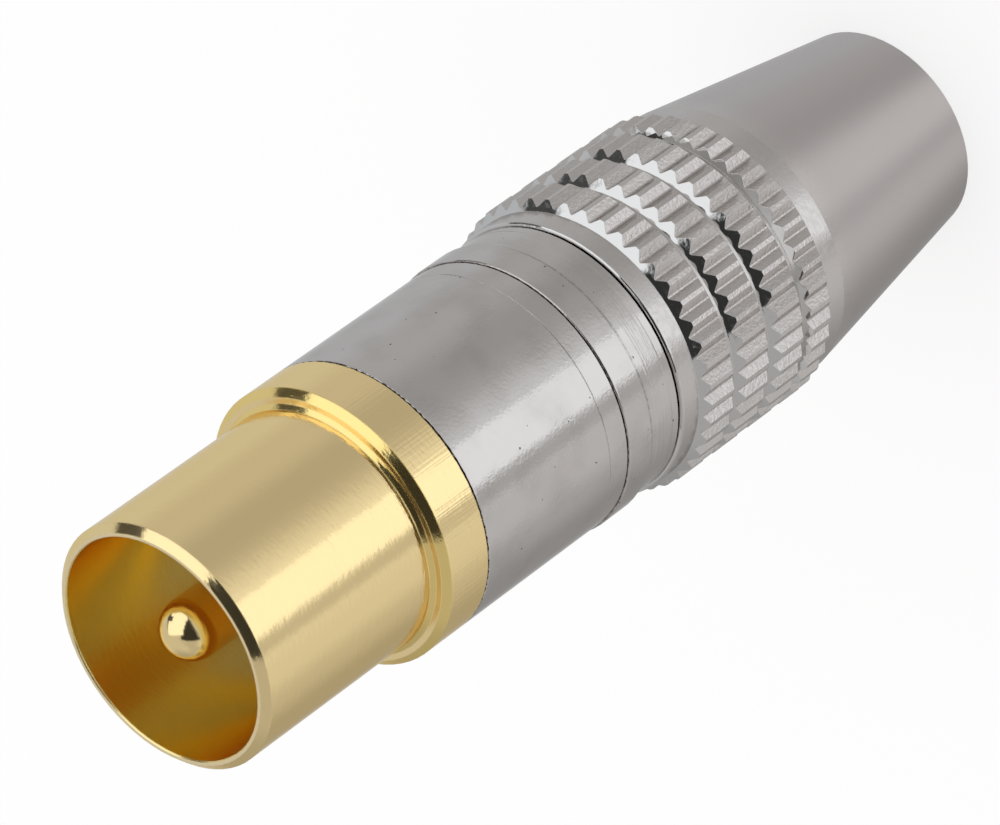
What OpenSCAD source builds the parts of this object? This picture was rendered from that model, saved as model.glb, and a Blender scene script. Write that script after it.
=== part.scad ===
// Coaxial plug: a gold-plated nose with its centre pin, a nickel-plated barrel,
// a clamp body, a cable claw and a knurled screw cap, all turned about one axis.
// Lengths are in millimetres. The plug stands on its tail end, with the nose up.

/* [Contact sleeve] */
// Outside diameter of the nose, which enters the socket
nose_d = 9.5; // [9:0.05:10]
// Wall of the nose
nose_wall = 0.45; // [0.3:0.05:0.7]
// Length of the nose, from its rim to the flange's face
nose_len = 8.59; // [7:0.01:12]
// Length of the bevel round the rim
rim_len = 0.28; // [0.15:0.01:0.4]
// Width of the rim's flat face, inside its bevel
rim_flat = 0.12; // [0.05:0.01:0.15]
// Bevel at the bore's edge
rim_edge = 0.05; // [0.02:0.01:0.1]
// Height of the cone at the root of the nose
root_h = 0.17; // [0.05:0.01:0.2]
// Length of the cone at the root of the nose
root_len = 0.15; // [0.05:0.01:0.3]
// Height of the flange above the nose
flange_h = 0.67; // [0.5:0.01:1]
// Height of the bevel in front of the flange
bevel_h = 0.27; // [0.1:0.01:0.29]
// Length of the bevel in front of the flange
bevel_len = 0.25; // [0.05:0.01:0.5]
// Length of the flange, from its face to the barrel
flange_len = 2.21; // [1.5:0.01:4]

/* [Centre pin] */
// Diameter of the pin
pin_d = 2.3; // [2:0.05:2.6]
// Distance of the pin's round tip behind the rim
pin_inset = 0.46; // [0:0.02:1]
// Height of the pin's shoulder, which stops in the insulator
pin_shoulder_h = 0.55; // [0.3:0.05:0.9]
// Length of the pin's shoulder
pin_shoulder_len = 2.6; // [1.5:0.1:2.8]
// Diameter of the solder tail behind the shoulder
pin_tail_d = 2.6; // [2.2:0.1:3]
// Length of the solder tail
pin_tail_len = 7.4; // [4:0.1:9]
// Diameter of the hole for the cable's wire
wire_hole_d = 1.3; // [0.9:0.05:1.6]
// Depth of the hole for the cable's wire
wire_hole_len = 5; // [3:0.1:6]
// Length of the open half of the solder cup
cup_len = 3.2; // [1.5:0.1:4]

/* [Insulator] */
// Length of the insulator
insulator_len = 5.8; // [4:0.1:8]
// Length of the insulator in front of the pin's shoulder
insulator_web = 2.8; // [1.5:0.1:3]
// Height of the sleeve's inner lip, which stops the insulator
lip_h = 0.4; // [0.2:0.05:0.6]
// Length of the sleeve's inner lip
lip_len = 0.6; // [0.3:0.05:1]
// Depth of the nose's bore behind the flange's face
bore_past = 0.05; // [0:0.05:0.5]

/* [Barrel] */
// Length of the barrel
barrel_len = 7.6; // [5:0.01:12]
// Wall of the barrel
barrel_wall = 0.7; // [0.5:0.05:0.9]
// Wall of the sleeve's spigot inside the barrel
spigot_wall = 0.6; // [0.4:0.05:0.9]
// Rounding of the barrel's front edge
barrel_edge = 0.07; // [0.03:0.01:0.2]
// Distance of the scribed line from the barrel's rear end
scribe_back = 0.98; // [0.4:0.02:2]
// Half width and depth of the scribed line
scribe_cut = 0.02; // [0.01:0.01:0.08]

/* [Clamp body] */
// Height of the ring above the barrel
ring_h = 0.07; // [0.02:0.01:0.3]
// Length of the ring
ring_len = 1.25; // [0.6:0.01:3]
// Rounding of the ring's front edge
ring_edge = 0.07; // [0.03:0.01:0.2]
// Depth of the neck below the ring
neck_depth = 0.12; // [0.04:0.01:0.3]
// Length of the neck
neck_len = 1.66; // [0.8:0.01:3]
// Length of the threaded rear end
thread_len = 4.89; // [3:0.01:8]
// Depth of the thread, which is left off: both sides are drawn at its roots
thread_depth = 0.39; // [0.2:0.01:0.5]
// Space between the thread's crests and the roots they run in
thread_clear = 0.05; // [0.02:0.01:0.1]
// Space between the cable and the bore it passes
cable_slack = 0.1; // [0.05:0.05:0.3]

/* [Cable claw] */
// Thickness of the claw's ring
claw_ring_len = 0.8; // [0.5:0.1:1.5]
// Length of the claw's fingers
finger_len = 3; // [1.5:0.1:4]
// Number of slots between the fingers
slot_count = 4; // [3:1:6]
// Width of a slot
slot_w = 0.9; // [0.4:0.1:1.4]
// Height of the gripping ridge at the fingers' ends
grip_h = 0.12; // [0.05:0.01:0.25]
// Length of the gripping ridge
grip_len = 0.4; // [0.2:0.05:0.8]
// Space between the claw's ring and the cap's bore
claw_clear = 0.15; // [0.1:0.01:0.3]
// Space between the fingers and the cap's inner cone
cone_clear = 0.1; // [0.05:0.01:0.2]
// Space between the claw and the clamp body's end
claw_gap = 0.05; // [0.02:0.01:0.2]

/* [Knurled cap] */
// Gap between the neck and the screwed-up cap
cap_gap = 0.05; // [0.03:0.01:0.4]
// Length of the plain collar in front of the knurl
collar_len = 0.91; // [0.5:0.01:2]
// Rounding of the collar's front edge
collar_edge = 0.11; // [0.05:0.01:0.3]
// Wall of the cap round its thread
cap_wall = 0.69; // [0.5:0.01:0.9]
// Number of teeth round the knurl
tooth_count = 44; // [24:1:60]
// Height of the knurl's crests above the collar
knurl_h = 0.36; // [0.2:0.01:0.5]
// Depth of the valleys between the teeth
tooth_depth = 0.23; // [0.1:0.01:0.35]
// Width of the flat on a tooth's crest
crest_w = 0.18; // [0.04:0.01:0.2]
// Width of the flat at the bottom of a valley
valley_w = 0.07; // [0.02:0.01:0.12]
// Direction of one tooth, in degrees
tooth_turn = -90; // [-180:1:180]
// Number of knurled bands
band_count = 4; // [2:1:6]
// Distance from one band to the next
band_pitch = 2; // [1.6:0.05:3]
// Length of the conical flank at each end of a band
flank_len = 0.31; // [0.15:0.01:0.4]
// Length of the steeper flank in front of the last band
last_lead_len = 0.14; // [0.1:0.01:0.4]
// Width of the groove's floor between two bands
groove_w = 0.13; // [0.05:0.01:0.4]
// Length of the crests of the last band
last_crest_len = 1.02; // [0.4:0.01:2]
// Length of the plain land behind the knurl
land_len = 0.91; // [0.4:0.02:2]
// Height of the land above the collar
land_h = 0.09; // [0.02:0.01:0.12]
// Length of the tapered tail
tail_len = 9.43; // [6:0.01:14]
// Wall of the cap at its tail end
tail_wall = 0.65; // [0.4:0.05:1]
// Diameter of the cable hole
cable_d = 7; // [5:0.1:7.2]
// Length of the inner cone that closes the claw
cone_len = 6.4; // [4:0.1:8]
// Height of the shoulder in front of the inner cone
cone_seat_h = 0.35; // [0.1:0.05:0.5]

/* [Fits] */
// Radial clearance of pieces that seat in one another
seat_fit = 0.02; // [0.01:0.01:0.05]
// Small bevel on plain edges
edge = 0.05; // [0.02:0.01:0.1]

/* [Hidden] */
$fn = 96;

// Radii, from the nose outwards and from the cable outwards
nose_r = nose_d / 2;
nose_bore_r = nose_r - nose_wall;
body_r = nose_r + flange_h;
barrel_bore_r = body_r - barrel_wall;
spigot_r = barrel_bore_r - seat_fit;
insulator_seat_r = spigot_r - spigot_wall;
lip_r = insulator_seat_r - lip_h;
ring_r = body_r + ring_h;
neck_r = ring_r - neck_depth;
pin_r = pin_d / 2;
pin_shoulder_r = pin_r + pin_shoulder_h;
cable_r = cable_d / 2;
cable_bore_r = cable_r + cable_slack;
cap_bore_r = ring_r - cap_wall;
thread_root_r = cap_bore_r - thread_clear - thread_depth;
crest_r = ring_r + knurl_h;
valley_r = crest_r - tooth_depth;
land_r = ring_r + land_h;
tail_r = cable_r + tail_wall;
cone_front_r = cap_bore_r - cone_seat_h;
claw_ring_r = cap_bore_r - claw_clear;
grip_r = cable_bore_r - grip_h;

// Stations along the axis, counted back from the rim of the nose
barrel_x = nose_len + flange_len;
ring_x = barrel_x + barrel_len;
neck_x = ring_x + ring_len;
shoulder_x = neck_x + neck_len;
cap_x = shoulder_x + cap_gap;
knurl_x = cap_x + collar_len;
last_band_x = knurl_x + (band_count - 1) * band_pitch;
last_flank_len = flank_len * (knurl_h - land_h) / knurl_h;
land_x = last_band_x + last_lead_len + last_crest_len + last_flank_len;
tail_x = land_x + land_len;
total_len = tail_x + tail_len;
lip_x = nose_len + bore_past;
insulator_x = lip_x + lip_len;
insulator_end = insulator_x + insulator_len;
pin_shoulder_x = insulator_x + insulator_web;
pin_tail_x = pin_shoulder_x + pin_shoulder_len;
pin_end = pin_tail_x + pin_tail_len;
thread_end = shoulder_x + thread_len;
claw_x = thread_end + claw_gap;
finger_x = claw_x + claw_ring_len;
claw_end = finger_x + finger_len;
cap_seat_x = finger_x + cone_clear;
cone_end = cap_seat_x + cone_len;
cone_slope = (cone_front_r - cable_r) / cone_len;
crest_len = band_pitch - 2 * flank_len - groove_w;
scribe_x = ring_x - scribe_back;

// A solid turned from a profile of [distance behind the rim, radius] points
module turned(profile) {
    rotate_extrude() polygon([for (p = profile) [p[1], total_len - p[0]]]);
}

// A straight round bar between two stations
module bar(from_x, to_x, r) {
    translate([0, 0, total_len - to_x]) cylinder(r = r, h = to_x - from_x);
}

// Points of a rounded front edge in a profile, from the face out to the side
function front_edge(x, r, rad, steps = 3) =
    [for (i = [0 : steps])
        let (a = 90 * i / steps)
            [x + rad * (1 - cos(a)), r - rad * (1 - sin(a))]];

// Radius of the cap's inner cone at a station
function cone_r(x) = cone_front_r - cone_slope * (x - cap_seat_x);

// The gold-plated front: nose, flange and the spigot that seats in the barrel
module contact_sleeve() {
    nose_front = [
        [rim_edge, nose_bore_r],
        [0, nose_bore_r + rim_edge],
        [0, nose_bore_r + rim_edge + rim_flat],
        [rim_len, nose_r]
    ];
    flange = [
        [nose_len - root_len, nose_r],
        [nose_len, nose_r + root_h],
        [nose_len, body_r - bevel_h],
        [nose_len + bevel_len, body_r],
        [barrel_x - edge, body_r],
        [barrel_x, body_r - edge]
    ];
    spigot = [
        [barrel_x, spigot_r],
        [insulator_end - edge, spigot_r],
        [insulator_end, spigot_r - edge]
    ];
    inside = [
        [insulator_end, insulator_seat_r],
        [insulator_x, insulator_seat_r],
        [insulator_x, lip_r],
        [lip_x, lip_r],
        [lip_x, nose_bore_r]
    ];
    color("#c9ae6b") turned(concat(nose_front, flange, spigot, inside));
}

// The gold-plated pin: round tip, shoulder in the insulator and open solder cup
module centre_pin() {
    tip_x = pin_inset + pin_r;
    color("#d2b871") difference() {
        union() {
            translate([0, 0, total_len - tip_x]) sphere(r = pin_r);
            bar(tip_x, pin_shoulder_x, pin_r);
            bar(pin_shoulder_x, pin_tail_x, pin_shoulder_r);
            bar(pin_tail_x, pin_end, pin_tail_d / 2);
        }
        bar(pin_end - wire_hole_len, pin_end + edge, wire_hole_d / 2);
        translate([0, -pin_tail_d / 2, total_len - pin_end - edge])
            cube([pin_tail_d, pin_tail_d, cup_len + edge]);
    }
}

// The white plastic bush that holds the pin in the middle of the sleeve
module pin_insulator() {
    outer_r = insulator_seat_r - seat_fit;
    color("#ece8dc") turned([
        [insulator_x, pin_r + seat_fit],
        [insulator_x, outer_r - edge],
        [insulator_x + edge, outer_r],
        [insulator_end - edge, outer_r],
        [insulator_end, outer_r - edge],
        [insulator_end, pin_shoulder_r + seat_fit],
        [pin_shoulder_x, pin_shoulder_r + seat_fit],
        [pin_shoulder_x, pin_r + seat_fit]
    ]);
}

// The nickel-plated tube that joins the contact sleeve to the clamp body
module front_barrel() {
    color("#b4b1ac") turned([
        [barrel_x, barrel_bore_r],
        each front_edge(barrel_x, body_r, barrel_edge),
        [scribe_x - scribe_cut, body_r],
        [scribe_x, body_r - scribe_cut],
        [scribe_x + scribe_cut, body_r],
        [ring_x - edge, body_r],
        [ring_x, body_r - edge],
        [ring_x, barrel_bore_r]
    ]);
}

// The nickel-plated body behind the barrel: ring, neck and threaded rear end
module clamp_body() {
    color("#aeaba6") turned([
        [insulator_end, cable_bore_r],
        [insulator_end, spigot_r - edge],
        [insulator_end + edge, spigot_r],
        [ring_x, spigot_r],
        each front_edge(ring_x, ring_r, ring_edge),
        [neck_x - edge / 2, ring_r],
        [neck_x, ring_r - edge / 2],
        [neck_x, neck_r],
        [shoulder_x - edge, neck_r],
        [shoulder_x, neck_r - edge],
        [shoulder_x, thread_root_r],
        [thread_end - edge, thread_root_r],
        [thread_end, thread_root_r - edge],
        [thread_end, cable_bore_r]
    ]);
}

// The brass claw whose slotted fingers the cap's inner cone closes on the cable
module cable_claw() {
    slot_reach = claw_ring_r * 2;
    color("#b9965a") difference() {
        turned([
            [claw_x, cable_bore_r],
            [claw_x, claw_ring_r - edge],
            [claw_x + edge, claw_ring_r],
            [finger_x, claw_ring_r],
            [finger_x, cone_r(cap_seat_x) - cone_clear],
            [cap_seat_x, cone_r(cap_seat_x) - cone_clear],
            [claw_end, cone_r(claw_end) - cone_clear],
            [claw_end, grip_r],
            [claw_end - grip_len, grip_r],
            [claw_end - grip_len - grip_h, cable_bore_r]
        ]);
        for (i = [0 : slot_count - 1])
            rotate([0, 0, 360 * i / slot_count])
                translate([0, -slot_w / 2, total_len - claw_end - edge])
                    cube([slot_reach, slot_w, finger_len + edge]);
    }
}

// Outline of the knurl's teeth, whose points run past the crests that a band leaves
module knurl_outline() {
    half_turn = 180 / tooth_count;
    foot_turn = half_turn - asin(valley_w / 2 / valley_r);
    rise = crest_r - valley_r * cos(foot_turn);
    run = valley_r * sin(foot_turn) - crest_w / 2;
    point_r = crest_r + rise / run * crest_w / 2;
    polygon([for (i = [0 : tooth_count - 1], side = [-1, 0, 1])
        let (
            r = side == 0 ? point_r : valley_r,
            a = tooth_turn + 2 * half_turn * i + side * foot_turn
        )
            [r * cos(a), r * sin(a)]]);
}

// The nickel-plated cap: collar, four knurled bands, land, taper and cable hole
module knurled_cap() {
    bands = [for (i = [0 : band_count - 1])
        let (
            x = knurl_x + i * band_pitch,
            last = i == band_count - 1,
            front_x = x + (last ? last_lead_len : flank_len),
            end_x = front_x + (last ? last_crest_len : crest_len)
        )
            each [
                [x, ring_r],
                [front_x, crest_r],
                [end_x, crest_r],
                last ? [land_x, land_r] : [end_x + flank_len, ring_r]
            ]];
    front = [
        [cap_x, cap_bore_r + edge],
        each front_edge(cap_x, ring_r, collar_edge)
    ];
    tail = [
        [tail_x, land_r],
        [total_len - edge, tail_r],
        [total_len, tail_r - edge],
        [total_len, cable_r + 2 * edge],
        [total_len - 2 * edge, cable_r]
    ];
    inside = [
        [cone_end, cable_r],
        [cap_seat_x, cone_front_r],
        [cap_seat_x, cap_bore_r],
        [cap_x + edge, cap_bore_r]
    ];
    color("#a9a6a2") intersection() {
        turned(concat(front, bands, tail, inside));
        linear_extrude(total_len - cap_x) knurl_outline();
    }
}

contact_sleeve();
centre_pin();
pin_insulator();
front_barrel();
clamp_body();
cable_claw();
knurled_cap();
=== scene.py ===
"""Dresses the coaxial plug: its finishes, the cap's screw thread and a small light tent."""

import math

import bpy
from mathutils import Matrix, Vector


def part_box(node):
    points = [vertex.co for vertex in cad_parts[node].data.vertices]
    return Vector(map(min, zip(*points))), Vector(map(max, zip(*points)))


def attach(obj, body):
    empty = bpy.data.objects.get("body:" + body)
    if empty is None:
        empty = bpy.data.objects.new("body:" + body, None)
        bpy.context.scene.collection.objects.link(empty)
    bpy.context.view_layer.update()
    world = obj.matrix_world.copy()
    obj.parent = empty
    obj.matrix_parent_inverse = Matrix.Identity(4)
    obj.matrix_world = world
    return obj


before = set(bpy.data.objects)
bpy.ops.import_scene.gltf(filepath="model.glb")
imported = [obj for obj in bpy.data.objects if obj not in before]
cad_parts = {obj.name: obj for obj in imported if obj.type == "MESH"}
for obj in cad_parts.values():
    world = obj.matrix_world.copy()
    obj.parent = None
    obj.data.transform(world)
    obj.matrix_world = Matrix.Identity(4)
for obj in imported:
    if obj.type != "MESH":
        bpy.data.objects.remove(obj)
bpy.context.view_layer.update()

bl_info = {
    "name": "Coaxial plug",
    "version": (1, 0, 0),
    "blender": (4, 5, 0),
    "location": "3D View > Sidebar > Plug",
    "description": "Finishes, screw thread and light tent of a gold-nosed coaxial plug",
    "category": "Object",
}

MM = 0.001
PER_MM = 1000.0

# Heights of the plug's stations, from the boxes of its pieces
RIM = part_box("contact_sleeve")[1].z
FLANGE_EDGE = RIM - 8.84 * MM
BARREL_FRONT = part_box("front_barrel")[1].z
CLAW_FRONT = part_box("cable_claw")[1].z
SCRIBED_LINE = RIM - 17.42 * MM
RING_FRONT = RIM - 18.4 * MM
RING_REAR = RIM - 19.65 * MM
NECK_MIDDLE = RIM - 20.5 * MM
TAIL_TOP = RIM - 30.57 * MM

# Half the length of the flange's front: its cone, flat face and bevel
FRONT_HALF = 0.2 * MM

# Radii at which one zone of a finish gives way to the next
PIN_ZONE = 2.0 * MM
BORE_ZONE = 4.31 * MM
NOSE_ZONE = 4.5 * MM
SHELL_ZONE = 5.2 * MM
TOOTH_ZONE = 5.59 * MM
CREST_ZONE = 5.80 * MM

# Depths of the finishes' relief. Real lines and grain are finer: these are coarse enough to show
GOLD_LINES = 0.009 * MM
GOLD_SCRATCHES = 0.008 * MM
NICKEL_GRAIN = 0.008 * MM
NICKEL_RINGS = 0.014 * MM
NICKEL_PITS = 0.02 * MM
SATIN_GRAIN = 0.028 * MM
SATIN_WAVES = 0.02 * MM
LATHE_RINGS = 0.003 * MM

# Rounding of the edges of each plated finish
GOLD_EASE = 0.07 * MM
NICKEL_EASE = 0.04 * MM
SATIN_EASE = 0.03 * MM
EASE_SAMPLES = 4

# Roughness of the finishes, then what the teeth, their worn crests and their cut ends add to it
GOLD_ROUGH = 0.08
BORE_ROUGH = 0.18
NICKEL_ROUGH = 0.05
SATIN_ROUGH = 0.2
TAIL_ROUGH = 0.25
TOOTH_CHANGE = 0.08
CREST_CHANGE = -0.08
CUT_CHANGE = -0.2

# Depth that a thread ridge is sunk into its root, and the points in one turn of it
RIDGE_SINK = 0.03 * MM
SPIRAL_STEPS = 64

# Space under the tail, and the share of plain white in what the eye sees of the floor
FLOOR_DROP = 0.02 * MM
FLOOR_WHITE = 0.7

# Mirrored bounces of light: the bore mirrors itself many times over
BORE_BOUNCES = 12

# Width of the camera's picture in millimetres, and the nearest distance that it sees in metres
SENSOR_WIDTH = 36.0
NEAR_CLIP = 0.01

# Sockets of the Mix node when it mixes colours
COLOUR_A = 6
COLOUR_B = 7
COLOUR_RESULT = 2


def linear(code):
    """Turns an sRGB hex colour into linear red, green, blue and alpha."""
    levels = [int(code[i:i + 2], 16) / 255 for i in (1, 3, 5)]
    return [v / 12.92 if v <= 0.04045 else ((v + 0.055) / 1.055) ** 2.4 for v in levels] + [1.0]


def add(tree, kind, inputs=None, **settings):
    """Adds one node with its settings, and links or sets its inputs."""
    node = tree.nodes.new(kind)
    for name, value in settings.items():
        setattr(node, name, value)
    for key, value in (inputs or {}).items():
        if isinstance(value, bpy.types.Node):
            value = value.outputs[0]
        if isinstance(value, bpy.types.NodeSocket):
            tree.links.new(value, node.inputs[key])
        else:
            node.inputs[key].default_value = value
    return node


def colour_setting(name, description, code):
    """Makes a colour property from an sRGB hex colour."""
    return bpy.props.FloatVectorProperty(
        name=name, description=description, subtype="COLOR", size=4, default=linear(code))


def length_setting(name, description, default):
    """Makes a length property from a value in metres."""
    return bpy.props.FloatProperty(
        name=name, description=description, default=default, subtype="DISTANCE", unit="LENGTH",
        precision=6)


class PlugFinish(bpy.types.PropertyGroup):
    """Colours of the plug's finishes."""

    gold: colour_setting("Gold", "Gold plate where it is polished", "#FEE4AA")
    gold_edge: colour_setting("Gold edge", "Tint of gold plate seen at a grazing angle", "#FBF1D8")
    bore_gold: colour_setting(
        "Bore gold", "Gold plate inside the nose, which was left as turned", "#FFEDA0")
    # Painted reflection: deeper gold on the flange's front stands in for its mirror image of the gold
    # nose
    flange_nose_reflection: colour_setting("Flange nose reflection", "Deeper gold on the flange's front, a painted reflection of the nose", "#FFE294")
    nickel: colour_setting("Nickel", "Bright nickel plate", "#D1CCC9")
    nickel_edge: colour_setting(
        "Nickel edge", "Tint of nickel plate seen at a grazing angle", "#EAE8E6")
    cut_nickel: colour_setting("Cut nickel", "Nickel plate on the cut ends of the knurl", "#D8D6D4")
    nickel_stain: colour_setting("Nickel stain", "Nickel plate where handling has dulled it", "#BDB8B3")
    warm_nickel: colour_setting("Warm nickel", "Satin nickel plate of the tapered tail", "#CBC5C3")
    # Dark colour for dirt, also used as painted shade behind the ring's rear step
    grime_and_shade: colour_setting("Grime and shade", "Dirt in pits and grooves, and painted shade behind the ring's rear step", "#2A2420")
    brass: colour_setting("Brass", "Bare brass of the cable claw", "#D9B36A")
    polythene: colour_setting("Polythene", "Insulator round the pin", "#ECE8DC")


class PlugThread(bpy.types.PropertyGroup):
    """Sizes of the cap's screw thread, in metres."""

    pitch: length_setting("Pitch", "Rise of the thread in one turn", 0.75 * MM)
    depth: length_setting("Depth", "Height of a ridge above its root", 0.39 * MM)
    crest: length_setting("Crest", "Width of the flat on a ridge", 0.094 * MM)
    flank: bpy.props.FloatProperty(
        name="Flank angle", description="Slope of a ridge's sides", default=math.radians(30),
        subtype="ANGLE", unit="ROTATION")
    outer_root: length_setting(
        "Clamp body's root", "Radius on which the clamp body's ridge stands", 4.36 * MM)
    inner_root: length_setting(
        "Cap's root", "Radius of the cap's bore, on which its ridge stands", 4.80 * MM)
    turns: bpy.props.FloatProperty(
        name="Turns", description="Turns of each ridge", default=5.0, min=1)


class PlugStage(bpy.types.PropertyGroup):
    """Camera, floor and light."""

    eye: bpy.props.FloatVectorProperty(
        name="Eye", description="Place of the camera", subtype="TRANSLATION", unit="LENGTH",
        default=(-0.197 * MM, -194.011 * MM, 174.431 * MM))
    aim: bpy.props.FloatVectorProperty(
        name="Aim", description="Point in the middle of the picture", subtype="TRANSLATION",
        unit="LENGTH", default=(-0.197 * MM, 0.0, 22.265 * MM))
    roll: bpy.props.FloatProperty(
        name="Roll", description="Lean of the picture's upright towards its right", subtype="ANGLE",
        unit="ROTATION", default=math.radians(125.827))
    lens: bpy.props.FloatProperty(
        name="Lens", description="Focal length in millimetres on a 36 mm wide picture", default=252.0)
    floor_colour: colour_setting("Floor", "Colour of the floor", "#FDFDFD")
    floor_reach: bpy.props.FloatProperty(
        name="Floor reach", description="Half the width of the floor", default=1.5, subtype="DISTANCE",
        unit="LENGTH")
    wall: bpy.props.FloatProperty(
        name="Tent wall", description="Brightness of the tent's plain wall", default=0.55)


def new_tree(name):
    """Makes a material with an empty tree and its shader. Returns material, tree and shader."""
    material = bpy.data.materials.new(name)
    material.use_nodes = True
    tree = material.node_tree
    tree.nodes.clear()
    shader = add(tree, "ShaderNodeBsdfPrincipled")
    add(tree, "ShaderNodeOutputMaterial", {"Surface": shader})
    return material, tree, shader


def place_of(tree):
    """Adds Object coordinates, with the distance from the axis and the height."""
    place = add(tree, "ShaderNodeTexCoord").outputs["Object"]
    height = add(tree, "ShaderNodeSeparateXYZ", {0: place}).outputs["Z"]
    flat = add(tree, "ShaderNodeVectorMath", {0: place, 1: (1.0, 1.0, 0.0)}, operation="MULTIPLY")
    radius = add(tree, "ShaderNodeVectorMath", {0: flat}, operation="LENGTH").outputs["Value"]
    return place, radius, height


def streaks(tree, place, across, along, detail=3.0):
    """Adds noise drawn out over a surface: its grain per millimetre across and along the axis."""
    scale = (across * PER_MM, across * PER_MM, along * PER_MM)
    drawn = add(tree, "ShaderNodeMapping", {"Vector": place, "Scale": scale})
    noise = add(tree, "ShaderNodeTexNoise", {"Vector": drawn, "Scale": 1.0, "Detail": detail})
    return noise.outputs["Fac"]


def step(tree, value, start, end, low=0.0, high=1.0):
    """Adds a soft step from low at start to high at end."""
    return add(tree, "ShaderNodeMapRange",
               {"Value": value, "From Min": start, "From Max": end, "To Min": low, "To Max": high},
               interpolation_type="SMOOTHSTEP").outputs[0]


def band(tree, value, middle, half, soft):
    """Adds a band of 1 around middle, which fades to 0 past half its width."""
    off = add(tree, "ShaderNodeMath", {0: value, 1: middle}, operation="SUBTRACT")
    reach = add(tree, "ShaderNodeMath", {0: off}, operation="ABSOLUTE")
    return step(tree, reach.outputs[0], half + soft, half)


def gold_plate(finish):
    """Bright gold on turned brass: fine turned lines fray the edges of what it mirrors. The flange's
    front gets a deeper gold as a painted reflection of the gold nose.
    """
    material, tree, shader = new_tree("gold_plate_turned")
    place, radius, height = place_of(tree)
    lines = streaks(tree, place, 2.0, 7.0)
    drawn = streaks(tree, place, 9.0, 0.3, 2.0)
    blots = streaks(tree, place, 6.0, 6.0)
    flange = step(tree, height, FLANGE_EDGE, FLANGE_EDGE - 0.1 * MM)
    front_height = band(tree, height, FLANGE_EDGE + FRONT_HALF, FRONT_HALF, 0.03 * MM)
    front_radius = step(tree, radius, NOSE_ZONE, NOSE_ZONE + 0.1 * MM)
    front = add(tree, "ShaderNodeMath", {0: front_height, 1: front_radius}, operation="MULTIPLY")
    bore = step(tree, radius, BORE_ZONE + 0.03 * MM, BORE_ZONE)
    off_pin = step(tree, radius, PIN_ZONE, PIN_ZONE + 0.2 * MM)
    inside = add(tree, "ShaderNodeMath", {0: bore, 1: off_pin}, operation="MULTIPLY")
    facing = add(tree, "ShaderNodeNewGeometry").outputs["True Normal"]
    flat = step(tree, add(tree, "ShaderNodeSeparateXYZ", {0: facing}).outputs["Z"], 0.9, 0.95)
    scraped = step(tree, front, 0.0, 1.0, 0.4, 0.2)
    faced_share = add(tree, "ShaderNodeMath", {0: flat, 1: scraped}, operation="MULTIPLY")
    faced = add(tree, "ShaderNodeMath", {0: faced_share, 1: off_pin}, operation="MULTIPLY")
    # Painted reflection of the nose: deeper gold on the flange's front cone and bevel, and half as much
    # on its flat face
    nose_reflection_share = add(tree, "ShaderNodeMath", {0: front, 1: step(tree, flat, 0.0, 1.0, 1.0, 0.5)},
                 operation="MULTIPLY")
    lining = add(tree, "ShaderNodeMix",
                 {0: inside, COLOUR_A: finish.gold, COLOUR_B: finish.bore_gold}, data_type="RGBA")
    nose_reflection_tint = add(tree, "ShaderNodeMix",
                   {0: nose_reflection_share, COLOUR_A: lining.outputs[COLOUR_RESULT], COLOUR_B: finish.flange_nose_reflection},
                   data_type="RGBA")
    plate = add(tree, "ShaderNodeMix",
                {0: faced, COLOUR_A: nose_reflection_tint.outputs[COLOUR_RESULT], COLOUR_B: finish.gold_edge},
                data_type="RGBA")
    ragged = add(tree, "ShaderNodeMath", {0: blots, 1: 0.1 * MM, 2: height}, operation="MULTIPLY_ADD")
    seam = band(tree, ragged.outputs[0], BARREL_FRONT + 0.07 * MM, 0.025 * MM, 0.03 * MM)
    outside = step(tree, radius, SHELL_ZONE, SHELL_ZONE + 0.1 * MM)
    seam_dirt = add(tree, "ShaderNodeMath", {0: seam, 1: outside}, operation="MULTIPLY")
    dirt = add(tree, "ShaderNodeMath",
               {0: seam_dirt, 1: step(tree, blots, 0.3, 0.5, 0.45, 1.0)}, operation="MULTIPLY")
    colour = add(tree, "ShaderNodeMix",
                 {0: dirt, COLOUR_A: plate.outputs[COLOUR_RESULT], COLOUR_B: finish.grime_and_shade},
                 data_type="RGBA")
    dull = step(tree, inside, 0.0, 1.0, GOLD_ROUGH, BORE_ROUGH)
    polished = add(tree, "ShaderNodeMath", {0: lines, 1: 0.06, 2: dull}, operation="MULTIPLY_ADD")
    rough = add(tree, "ShaderNodeMath", {0: faced, 1: 0.6, 2: polished}, operation="MULTIPLY_ADD")
    scratches = add(tree, "ShaderNodeMath", {0: drawn, 1: flange}, operation="MULTIPLY")
    eased = add(tree, "ShaderNodeBevel", {"Radius": GOLD_EASE}, samples=EASE_SAMPLES)
    turned = add(tree, "ShaderNodeBump",
                 {"Strength": 1.0, "Distance": GOLD_LINES, "Height": lines, "Normal": eased})
    scored = add(tree, "ShaderNodeBump",
                 {"Strength": 1.0, "Distance": GOLD_SCRATCHES, "Height": scratches, "Normal": turned})
    shader.inputs["Metallic"].default_value = 1.0
    shader.inputs["Specular Tint"].default_value = finish.gold_edge
    tree.links.new(colour.outputs[COLOUR_RESULT], shader.inputs["Base Color"])
    tree.links.new(rough.outputs[0], shader.inputs["Roughness"])
    tree.links.new(scored.outputs[0], shader.inputs["Normal"])
    return material


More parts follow.
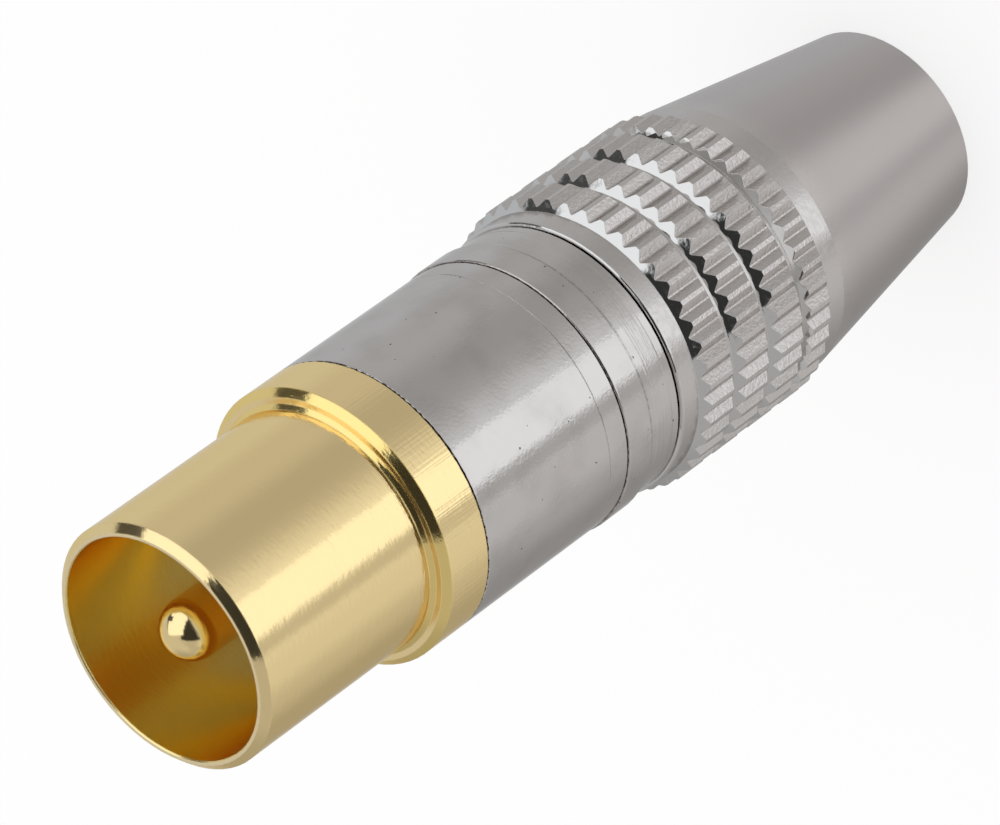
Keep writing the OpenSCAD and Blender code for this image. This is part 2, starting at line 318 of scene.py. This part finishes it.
def nickel_plate(finish):
    """Bright nickel on turned brass: slightly grainy, with pin-head pits, dirt in its joints and a
    painted shade line behind the ring's rear step.
    """
    material, tree, shader = new_tree("nickel_plate_bright")
    place, _, height = place_of(tree)
    grain = streaks(tree, place, 7.0, 7.0)
    patches = streaks(tree, place, 0.6, 0.6)
    rings = streaks(tree, place, 0.5, 14.0)
    blots = streaks(tree, place, 6.0, 6.0)
    waves = add(tree, "ShaderNodeTexNoise", {"Vector": place, "Scale": 7.0 * PER_MM, "Detail": 2.0})
    shaken = add(tree, "ShaderNodeVectorMath",
                 {0: waves.outputs["Color"], 1: (0.14 * MM, 0.14 * MM, 0.14 * MM), 2: place},
                 operation="MULTIPLY_ADD")
    seeds = add(tree, "ShaderNodeTexVoronoi", {"Vector": shaken, "Scale": 2.0 * PER_MM})
    pit_size = step(tree, seeds.outputs["Color"], 0.35, 0.75, 0.0, 0.085)
    inside = add(tree, "ShaderNodeMath", {0: pit_size, 1: seeds.outputs["Distance"]},
                 operation="SUBTRACT")
    pits = step(tree, inside.outputs[0], 0.0, 0.03, 0.0, 0.8)
    neck = band(tree, height, NECK_MIDDLE, 0.4 * MM, 0.05 * MM)
    stained = step(tree, patches, 0.4, 0.75, 0.0, 0.5)
    plate = add(tree, "ShaderNodeMix",
                {0: stained, COLOUR_A: finish.nickel, COLOUR_B: finish.nickel_stain}, data_type="RGBA")
    front_seam = band(tree, height, RING_FRONT + 0.02 * MM, 0.01 * MM, 0.03 * MM)
    # Painted shade: a dark line on the neck just behind the ring's rear step, where the step shades it
    rear_step_shade = band(tree, height, RING_REAR - 0.1 * MM, 0.03 * MM, 0.06 * MM)
    scribed = band(tree, height, SCRIBED_LINE, 0.01 * MM, 0.03 * MM)
    ragged = add(tree, "ShaderNodeMath", {0: blots, 1: 0.1 * MM, 2: height}, operation="MULTIPLY_ADD")
    gold_seam = band(tree, ragged.outputs[0], BARREL_FRONT + 0.05 * MM, 0.01 * MM, 0.03 * MM)
    deep = add(tree, "ShaderNodeMath", {0: front_seam, 1: gold_seam}, operation="MAXIMUM")
    worn = add(tree, "ShaderNodeMath", {0: scribed, 1: 0.15, 2: deep}, operation="MULTIPLY_ADD")
    lines = add(tree, "ShaderNodeMath", {0: rear_step_shade, 1: 0.35, 2: worn}, operation="MULTIPLY_ADD")
    # The dark mix holds real dirt in the joints, lines and pits, and the painted shade behind the ring's
    # rear step
    line_dirt_and_shade = add(tree, "ShaderNodeMath",
                    {0: lines, 1: step(tree, blots, 0.35, 0.6, 0.3, 1.0)}, operation="MULTIPLY")
    dirt = add(tree, "ShaderNodeMath", {0: line_dirt_and_shade, 1: pits}, operation="MAXIMUM")
    colour = add(tree, "ShaderNodeMix",
                 {0: dirt, COLOUR_A: plate.outputs[COLOUR_RESULT], COLOUR_B: finish.grime_and_shade},
                 data_type="RGBA")
    rough = add(tree, "ShaderNodeMath", {0: patches, 1: 0.06, 2: NICKEL_ROUGH}, operation="MULTIPLY_ADD")
    scratches = add(tree, "ShaderNodeMath", {0: rings, 1: neck}, operation="MULTIPLY")
    eased = add(tree, "ShaderNodeBevel", {"Radius": NICKEL_EASE}, samples=EASE_SAMPLES)
    grainy = add(tree, "ShaderNodeBump",
                 {"Strength": step(tree, patches, 0.3, 0.7, 0.4, 1.0), "Distance": NICKEL_GRAIN,
                  "Height": grain, "Normal": eased})
    scored = add(tree, "ShaderNodeBump",
                 {"Strength": 1.0, "Distance": NICKEL_RINGS, "Height": scratches, "Normal": grainy})
    pitted = add(tree, "ShaderNodeBump",
                 {"Strength": 1.0, "Distance": NICKEL_PITS, "Height": pits, "Normal": scored},
                 invert=True)
    shader.inputs["Metallic"].default_value = 1.0
    shader.inputs["Specular Tint"].default_value = finish.nickel_edge
    tree.links.new(colour.outputs[COLOUR_RESULT], shader.inputs["Base Color"])
    tree.links.new(rough.outputs[0], shader.inputs["Roughness"])
    tree.links.new(pitted.outputs[0], shader.inputs["Normal"])
    return material


def satin_nickel(finish):
    """Satin nickel on a knurled cap: grainy teeth with worn, brighter crests, and a soft grey tail."""
    material, tree, shader = new_tree("nickel_plate_satin")
    place, radius, height = place_of(tree)
    grain = streaks(tree, place, 8.0, 8.0)
    mottle = streaks(tree, place, 4.0, 4.0)
    waves = streaks(tree, place, 1.2, 1.2, 1.0)
    facing = add(tree, "ShaderNodeNewGeometry").outputs["Normal"]
    along = add(tree, "ShaderNodeSeparateXYZ", {0: facing}).outputs["Z"]
    slope = add(tree, "ShaderNodeMath", {0: along}, operation="ABSOLUTE")
    tail = step(tree, height, TAIL_TOP + 0.5 * MM, TAIL_TOP - 1.5 * MM)
    teeth = step(tree, radius, TOOTH_ZONE, TOOTH_ZONE + 0.03 * MM)
    crest = step(tree, radius, CREST_ZONE, CREST_ZONE + 0.04 * MM)
    cut = step(tree, slope, 0.4, 0.6)
    turned = add(tree, "ShaderNodeMix",
                 {0: cut, COLOUR_A: finish.nickel, COLOUR_B: finish.cut_nickel}, data_type="RGBA")
    plate = add(tree, "ShaderNodeMix",
                {0: tail, COLOUR_A: turned.outputs[COLOUR_RESULT], COLOUR_B: finish.warm_nickel},
                data_type="RGBA")
    body_rough = step(tree, tail, 0.0, 1.0, SATIN_ROUGH, TAIL_ROUGH)
    tooth_rough = add(tree, "ShaderNodeMath", {0: teeth, 1: TOOTH_CHANGE, 2: body_rough},
                      operation="MULTIPLY_ADD")
    worn_rough = add(tree, "ShaderNodeMath", {0: crest, 1: CREST_CHANGE, 2: tooth_rough},
                     operation="MULTIPLY_ADD")
    cut_rough = add(tree, "ShaderNodeMath", {0: cut, 1: CUT_CHANGE, 2: worn_rough},
                    operation="MULTIPLY_ADD")
    mottled = step(tree, mottle, 0.2, 0.8, -0.1, 0.1)
    plain = step(tree, tail, 0.0, 1.0, 1.0, 0.2)
    rough = add(tree, "ShaderNodeMath", {0: mottled, 1: plain, 2: cut_rough}, operation="MULTIPLY_ADD")
    eased = add(tree, "ShaderNodeBevel", {"Radius": SATIN_EASE}, samples=EASE_SAMPLES)
    knurled = step(tree, teeth, 0.0, 1.0, 0.2, 1.0)
    gritty = add(tree, "ShaderNodeMath", {0: step(tree, cut, 0.0, 1.0, 1.0, 0.1), 1: knurled},
                 operation="MULTIPLY")
    grit = add(tree, "ShaderNodeMath", {0: gritty, 1: plain}, operation="MULTIPLY")
    grainy = add(tree, "ShaderNodeBump",
                 {"Strength": grit, "Distance": SATIN_GRAIN, "Height": grain, "Normal": eased})
    wavy = add(tree, "ShaderNodeBump",
               {"Strength": cut, "Distance": SATIN_WAVES, "Height": waves, "Normal": grainy})
    shader.inputs["Metallic"].default_value = 1.0
    shader.inputs["Specular Tint"].default_value = finish.nickel_edge
    tree.links.new(plate.outputs[COLOUR_RESULT], shader.inputs["Base Color"])
    tree.links.new(rough.outputs[0], shader.inputs["Roughness"])
    tree.links.new(wavy.outputs[0], shader.inputs["Normal"])
    return material


def turned_brass(finish):
    """Bare turned brass: yellow, with the lathe's rings left in it."""
    material, tree, shader = new_tree("brass_turned")
    place, _, _ = place_of(tree)
    rings = streaks(tree, place, 0.2, 8.0)
    rough = step(tree, rings, 0.2, 0.8, 0.22, 0.38)
    turned = add(tree, "ShaderNodeBump", {"Strength": 1.0, "Distance": LATHE_RINGS, "Height": rings})
    shader.inputs["Metallic"].default_value = 1.0
    shader.inputs["Base Color"].default_value = finish.brass
    tree.links.new(rough, shader.inputs["Roughness"])
    tree.links.new(turned.outputs[0], shader.inputs["Normal"])
    return material


def turned_polythene(finish):
    """Milky polythene, turned: matt white with faint rings."""
    material, tree, shader = new_tree("polythene_turned")
    place, _, _ = place_of(tree)
    rings = streaks(tree, place, 0.2, 6.0)
    rough = step(tree, rings, 0.2, 0.8, 0.4, 0.55)
    turned = add(tree, "ShaderNodeBump", {"Strength": 1.0, "Distance": LATHE_RINGS, "Height": rings})
    shader.inputs["Base Color"].default_value = finish.polythene
    shader.inputs["IOR"].default_value = 1.51
    tree.links.new(rough, shader.inputs["Roughness"])
    tree.links.new(turned.outputs[0], shader.inputs["Normal"])
    return material


def dress(material, *nodes):
    """Gives pieces of the frame their material."""
    for name in nodes:
        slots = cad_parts[name].data.materials
        slots.clear()
        slots.append(material)


def thread_tree():
    """Node tree of one thread ridge: a trapezoid drawn along a spiral that fades at both ends."""
    tree = bpy.data.node_groups.new("thread_ridge", "GeometryNodeTree")
    face = tree.interface
    face.new_socket("Geometry", in_out="OUTPUT", socket_type="NodeSocketGeometry")
    for name, kind in (("Root radius", "Float"), ("Start height", "Float"), ("Rise", "Float"),
                       ("Turns", "Float"), ("Root corner", "Vector"), ("Crest corner", "Vector"),
                       ("Material", "Material")):
        face.new_socket(name, in_out="INPUT", socket_type="NodeSocket" + kind)
    sizes = add(tree, "NodeGroupInput").outputs
    mirrored = [add(tree, "ShaderNodeVectorMath", {0: sizes[name], 1: (1.0, -1.0, 1.0)},
                    operation="MULTIPLY") for name in ("Root corner", "Crest corner")]
    profile = add(tree, "GeometryNodeCurvePrimitiveQuadrilateral",
                  {"Point 1": sizes["Root corner"], "Point 2": sizes["Crest corner"],
                   "Point 3": mirrored[1], "Point 4": mirrored[0]}, mode="POINTS")
    spiral = add(tree, "GeometryNodeCurveSpiral",
                 {"Resolution": SPIRAL_STEPS, "Rotations": sizes["Turns"],
                  "Start Radius": sizes["Root radius"], "End Radius": sizes["Root radius"],
                  "Height": sizes["Rise"], "Reverse": True})
    upright = add(tree, "GeometryNodeSetCurveNormal", {"Curve": spiral}, mode="Z_UP")
    along = add(tree, "GeometryNodeSplineParameter").outputs["Factor"]
    from_middle = add(tree, "ShaderNodeMath", {0: along, 1: 0.5}, operation="SUBTRACT")
    reach = add(tree, "ShaderNodeMath", {0: from_middle}, operation="ABSOLUTE")
    fade = add(tree, "ShaderNodeMapRange",
               {"Value": reach, "From Min": 0.5, "From Max": 0.45, "To Min": 0.05, "To Max": 1.0})
    ridge = add(tree, "GeometryNodeCurveToMesh",
                {"Curve": upright, "Profile Curve": profile, "Scale": fade, "Fill Caps": True})
    lift = add(tree, "ShaderNodeCombineXYZ", {"Z": sizes["Start height"]})
    placed = add(tree, "GeometryNodeTransform", {"Geometry": ridge, "Translation": lift})
    whole = add(tree, "GeometryNodeRealizeInstances", {"Geometry": placed})
    finished = add(tree, "GeometryNodeSetMaterial",
                   {"Geometry": whole, "Material": sizes["Material"]})
    add(tree, "NodeGroupOutput", {"Geometry": finished})
    return tree


def thread_ridge(context, tree, name, values):
    """Makes one ridge with the given inputs, as a plain mesh."""
    ridge = bpy.data.objects.new(name, bpy.data.meshes.new(name))
    context.scene.collection.objects.link(ridge)
    maker = ridge.modifiers.new("thread", "NODES")
    maker.node_group = tree
    for socket in tree.interface.items_tree:
        if socket.in_out == "INPUT":
            maker[socket.identifier] = values[socket.name]
    made = ridge.evaluated_get(context.evaluated_depsgraph_get())
    mesh = bpy.data.meshes.new_from_object(made)
    ridge.modifiers.remove(maker)
    ridge.data = mesh
    if not mesh.polygons:
        raise RuntimeError(f"{name} has no faces")
    return ridge


class PLUG_OT_gold_contacts(bpy.types.Operator):
    """Gold plate on the nose and its centre pin"""

    bl_idname = "plug.gold_contacts"
    bl_label = "Gold contacts"

    def execute(self, context):
        dress(gold_plate(context.scene.plug_finish), "contact_sleeve", "centre_pin")
        return {"FINISHED"}


class PLUG_OT_insulator(bpy.types.Operator):
    """Milky polythene on the bush round the pin"""

    bl_idname = "plug.insulator"
    bl_label = "Insulator"

    def execute(self, context):
        dress(turned_polythene(context.scene.plug_finish), "pin_insulator")
        return {"FINISHED"}


class PLUG_OT_nickel_shell(bpy.types.Operator):
    """Bright nickel plate on the barrel and the clamp body"""

    bl_idname = "plug.nickel_shell"
    bl_label = "Nickel shell"

    def execute(self, context):
        dress(nickel_plate(context.scene.plug_finish), "front_barrel", "clamp_body")
        return {"FINISHED"}


class PLUG_OT_knurled_cap(bpy.types.Operator):
    """Satin nickel plate on the knurled cap"""

    bl_idname = "plug.knurled_cap"
    bl_label = "Knurled cap"

    def execute(self, context):
        dress(satin_nickel(context.scene.plug_finish), "knurled_cap")
        return {"FINISHED"}


class PLUG_OT_cable_claw(bpy.types.Operator):
    """Bare brass on the claw that grips the cable"""

    bl_idname = "plug.cable_claw"
    bl_label = "Cable claw"

    def execute(self, context):
        dress(turned_brass(context.scene.plug_finish), "cable_claw")
        return {"FINISHED"}


class PLUG_OT_screw_threads(bpy.types.Operator):
    """Right-hand ridges on the clamp body and in the cap, half a pitch apart so that they mesh"""

    bl_idname = "plug.screw_threads"
    bl_label = "Screw threads"

    def execute(self, context):
        size = context.scene.plug_thread
        root_half = size.crest / 2 + (size.depth + RIDGE_SINK) * math.tan(size.flank)
        start = CLAW_FRONT + size.pitch / 2
        tree = thread_tree()
        ridges = (
            ("clamp_thread", "front_body", "nickel_plate", "clamp_body", size.outer_root, 1, 0.0),
            ("cap_thread", "cap", "satin_nickel", "knurled_cap", size.inner_root, -1, size.pitch / 2),
        )
        for name, body, slot, carrier, root, outwards, shift in ridges:
            ridge = thread_ridge(context, tree, name, {
                "Root radius": root,
                "Start height": start + shift,
                "Rise": size.pitch * size.turns,
                "Turns": size.turns,
                "Root corner": (-outwards * RIDGE_SINK, -root_half, 0.0),
                "Crest corner": (outwards * size.depth, -size.crest / 2, 0.0),
                "Material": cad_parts[carrier].data.materials[0],
            })
            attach(ridge, body)
        return {"FINISHED"}


# Panels of the light tent, as seen from the plug: azimuth (0 on the camera's side, 90 towards +X) and
# elevation of the middle, roll, then left, right, bottom and top edges, softness across and along,
# brightness, and coolness: blue as a share of red, with green half-way between. Angles are in degrees,
# and a later panel covers an earlier one.
TENT_PANELS = (
    ("back wall", 180, -20, 0, 12, 12, 40, 40, 28, 30, 0.68, 1.0),
    ("right-hand wall", 138, -20, 0, 14, 14, 40, 40, 24, 30, 0.62, 1.08),
    ("left-hand top", -105, 32, 0, 40, 35, 25, 25, 15, 10, 0.5, 1.0),
    ("back top", 180, 50, 0, 40, 40, 25, 25, 15, 10, 0.6, 1.0),
    ("left-hand shade", -142, -20, 0, 10, 10, 40, 40, 26, 30, 0.42, 1.0),
    ("left-hand card", -72, -20, 0, 5, 5, 45, 40, 20, 20, 0.69, 1.0),
    ("right-hand shade", 44, -20, 0, 4, 4, 30, 30, 24, 20, 0.45, 1.0),
    ("camera opening", -12, 52, 28.8, 50, 29, 50, 28, 3, 3, 0.04, 1.0),
    ("front wall", -12, 0, 0, 50, 50, 10, 29, 4, 2, 0.6, 1.0),
    ("low glow", -8, -60, 0, 6, 6, 14, 4, 16, 10, 0.78, 1.0),
    ("window glow", -20, 0, 0, 6, 14, 41, 4, 42, 8, 0.9, 1.06),
    ("window post", -48, -20, 0, 2, 2, 40, 30, 7, 10, 0.56, 1.0),
    ("front window", -24, 0, 0, 17, 13, 41, 12, 3, 8, 1.12, 1.06),
    ("dark strip", 96, 40, 20, 19.5, 10, 40, 34, 10, 2, 0.08, 1.0),
    ("softbox", 82.5, 47, 20, 29.5, 33, 31, 36, 3, 2, 1.12, 1.06),
    ("softbox frame", 82.5, 47, 20, 37, -19, 16, -3, 4, 2, 0.08, 1.0),
)


def tent_panel(tree, direction, below, panel):
    """Lays one flat panel over the tent's brightness so far, which it returns with the panel on it."""
    _, azimuth, elevation, roll, left, right, bottom, top, soft_across, soft_along, level, cool = panel
    turn, rise, lean = (math.radians(a) for a in (azimuth, elevation, roll))
    out = math.cos(rise)
    middle = Vector((math.sin(turn) * out, -math.cos(turn) * out, math.sin(rise)))
    level_left = Vector((0, 0, 1)).cross(middle).normalized()
    level_up = middle.cross(level_left)
    leftwards = math.cos(lean) * level_left - math.sin(lean) * level_up
    upwards = math.cos(lean) * level_up + math.sin(lean) * level_left
    facing = Matrix((leftwards, upwards, middle)).to_euler()
    seen = add(tree, "ShaderNodeMapping", {"Vector": direction, "Rotation": facing})
    parts = add(tree, "ShaderNodeSeparateXYZ", {0: seen}).outputs
    # A panel covers nothing in the half of the tent behind it
    cover = step(tree, parts["Z"], 0.0, 0.01)
    sides = (("X", left, left + soft_across), ("X", -right, -right - soft_across),
             ("Y", top, top + soft_along), ("Y", -bottom, -bottom - soft_along))
    for part, inner, outer in sides:
        flat = add(tree, "ShaderNodeMath", {0: parts[part], 1: parts["Z"]}, operation="DIVIDE")
        angle = add(tree, "ShaderNodeMath", {0: flat}, operation="ARCTANGENT")
        edge = step(tree, angle.outputs[0], math.radians(outer), math.radians(inner))
        cover = add(tree, "ShaderNodeMath", {0: cover, 1: edge}, operation="MULTIPLY")
    shade = (level, level * (1.0 + cool) / 2, level * cool, 1.0)
    laid = add(tree, "ShaderNodeMix", {0: cover, COLOUR_A: below, COLOUR_B: shade}, data_type="RGBA")
    return laid.outputs[COLOUR_RESULT]


def light_tent(world, stage):
    """Lights the plug from a white tent: polished metal mirrors its panels, and the eye sees white."""
    world.use_nodes = True
    tree = world.node_tree
    tree.nodes.clear()
    direction = add(tree, "ShaderNodeTexCoord").outputs["Generated"]
    tent = (stage.wall, stage.wall, stage.wall, 1.0)
    for panel in TENT_PANELS:
        tent = tent_panel(tree, direction, tent, panel)
    path = add(tree, "ShaderNodeLightPath").outputs
    white = (1.0, 1.0, 1.0, 1.0)
    mirrored = add(tree, "ShaderNodeMath",
                   {0: path["Is Glossy Ray"], 1: path["Is Transmission Ray"]}, operation="MAXIMUM")
    lit = add(tree, "ShaderNodeMix", {0: mirrored, COLOUR_A: white, COLOUR_B: tent}, data_type="RGBA")
    seen = add(tree, "ShaderNodeMix",
               {0: path["Is Camera Ray"], COLOUR_A: lit.outputs[COLOUR_RESULT], COLOUR_B: white},
               data_type="RGBA")
    sky = add(tree, "ShaderNodeBackground", {"Color": seen.outputs[COLOUR_RESULT], "Strength": 1.0})
    add(tree, "ShaderNodeOutputWorld", {"Surface": sky})
    world.cycles.sampling_method = "NONE"


def pale_floor(context, stage):
    """A plain pale floor under the tail, which shows white to the eye and keeps the plug's shadow."""
    mesh = bpy.data.meshes.new("floor")
    reach = stage.floor_reach
    corners = [(x * reach, y * reach, -FLOOR_DROP) for x, y in ((-1, -1), (1, -1), (1, 1), (-1, 1))]
    mesh.from_pydata(corners, [], [(0, 1, 2, 3)])
    floor = bpy.data.objects.new("floor", mesh)
    context.scene.collection.objects.link(floor)
    material = bpy.data.materials.new("floor_card")
    material.use_nodes = True
    tree = material.node_tree
    tree.nodes.clear()
    card = add(tree, "ShaderNodeBsdfDiffuse", {"Color": stage.floor_colour})
    white = add(tree, "ShaderNodeEmission", {"Strength": 1.0})
    path = add(tree, "ShaderNodeLightPath").outputs
    share = add(tree, "ShaderNodeMath", {0: path["Is Camera Ray"], 1: FLOOR_WHITE},
                operation="MULTIPLY")
    seen = add(tree, "ShaderNodeMixShader", {0: share, 1: card, 2: white})
    add(tree, "ShaderNodeOutputMaterial", {"Surface": seen})
    mesh.materials.append(material)
    floor.visible_glossy = False


def photo_camera(context, stage):
    """A long lens that looks down on the nose, rolled so that the plug lies across the picture."""
    camera = bpy.data.objects.new("camera", bpy.data.cameras.new("camera"))
    context.scene.collection.objects.link(camera)
    camera.data.sensor_width = SENSOR_WIDTH
    camera.data.lens = stage.lens
    camera.data.clip_start = NEAR_CLIP
    ahead = (Vector(stage.aim) - Vector(stage.eye)).normalized()
    level = ahead.cross(Vector((0, 0, 1))).normalized()
    upright = level.cross(ahead)
    up = math.cos(stage.roll) * upright + math.sin(stage.roll) * level
    right = ahead.cross(up)
    turn = Matrix((right, up, -ahead)).transposed().to_4x4()
    camera.matrix_world = Matrix.Translation(stage.eye) @ turn
    context.scene.camera = camera


class PLUG_OT_stage(bpy.types.Operator):
    """Light tent, pale floor and camera"""

    bl_idname = "plug.stage"
    bl_label = "Stage"

    def execute(self, context):
        stage = context.scene.plug_stage
        world = bpy.data.worlds.new("light_tent")
        context.scene.world = world
        light_tent(world, stage)
        pale_floor(context, stage)
        photo_camera(context, stage)
        context.scene.view_settings.view_transform = "Standard"
        context.scene.cycles.glossy_bounces = BORE_BOUNCES
        return {"FINISHED"}


GROUPS = (("plug_finish", PlugFinish), ("plug_thread", PlugThread), ("plug_stage", PlugStage))
OPERATORS = (PLUG_OT_stage, PLUG_OT_gold_contacts, PLUG_OT_insulator, PLUG_OT_nickel_shell,
             PLUG_OT_knurled_cap, PLUG_OT_cable_claw, PLUG_OT_screw_threads)


class PLUG_PT_sidebar(bpy.types.Panel):
    """Lists the plug's settings and the steps that dress it"""

    bl_idname = "PLUG_PT_sidebar"
    bl_label = "Coaxial plug"
    bl_space_type = "VIEW_3D"
    bl_region_type = "UI"
    bl_category = "Plug"

    def draw(self, context):
        for name, group in GROUPS:
            settings = getattr(context.scene, name)
            box = self.layout.box()
            for key in group.__annotations__:
                box.prop(settings, key)
        for operator in OPERATORS:
            self.layout.operator(operator.bl_idname)


def register():
    """Adds the settings, the steps and the panel to Blender."""
    for name, group in GROUPS:
        bpy.utils.register_class(group)
        setattr(bpy.types.Scene, name, bpy.props.PointerProperty(type=group))
    for operator in OPERATORS:
        bpy.utils.register_class(operator)
    bpy.utils.register_class(PLUG_PT_sidebar)


def unregister():
    """Takes the panel, the steps and the settings out again."""
    bpy.utils.unregister_class(PLUG_PT_sidebar)
    for operator in reversed(OPERATORS):
        bpy.utils.unregister_class(operator)
    for name, group in reversed(GROUPS):
        delattr(bpy.types.Scene, name)
        bpy.utils.unregister_class(group)


def main():
    """Dresses the frame."""
    register()
    bpy.ops.plug.stage()
    bpy.ops.plug.gold_contacts()
    bpy.ops.plug.insulator()
    bpy.ops.plug.nickel_shell()
    bpy.ops.plug.knurled_cap()
    bpy.ops.plug.cable_claw()
    bpy.ops.plug.screw_threads()


if __name__ == "__main__":
    main()
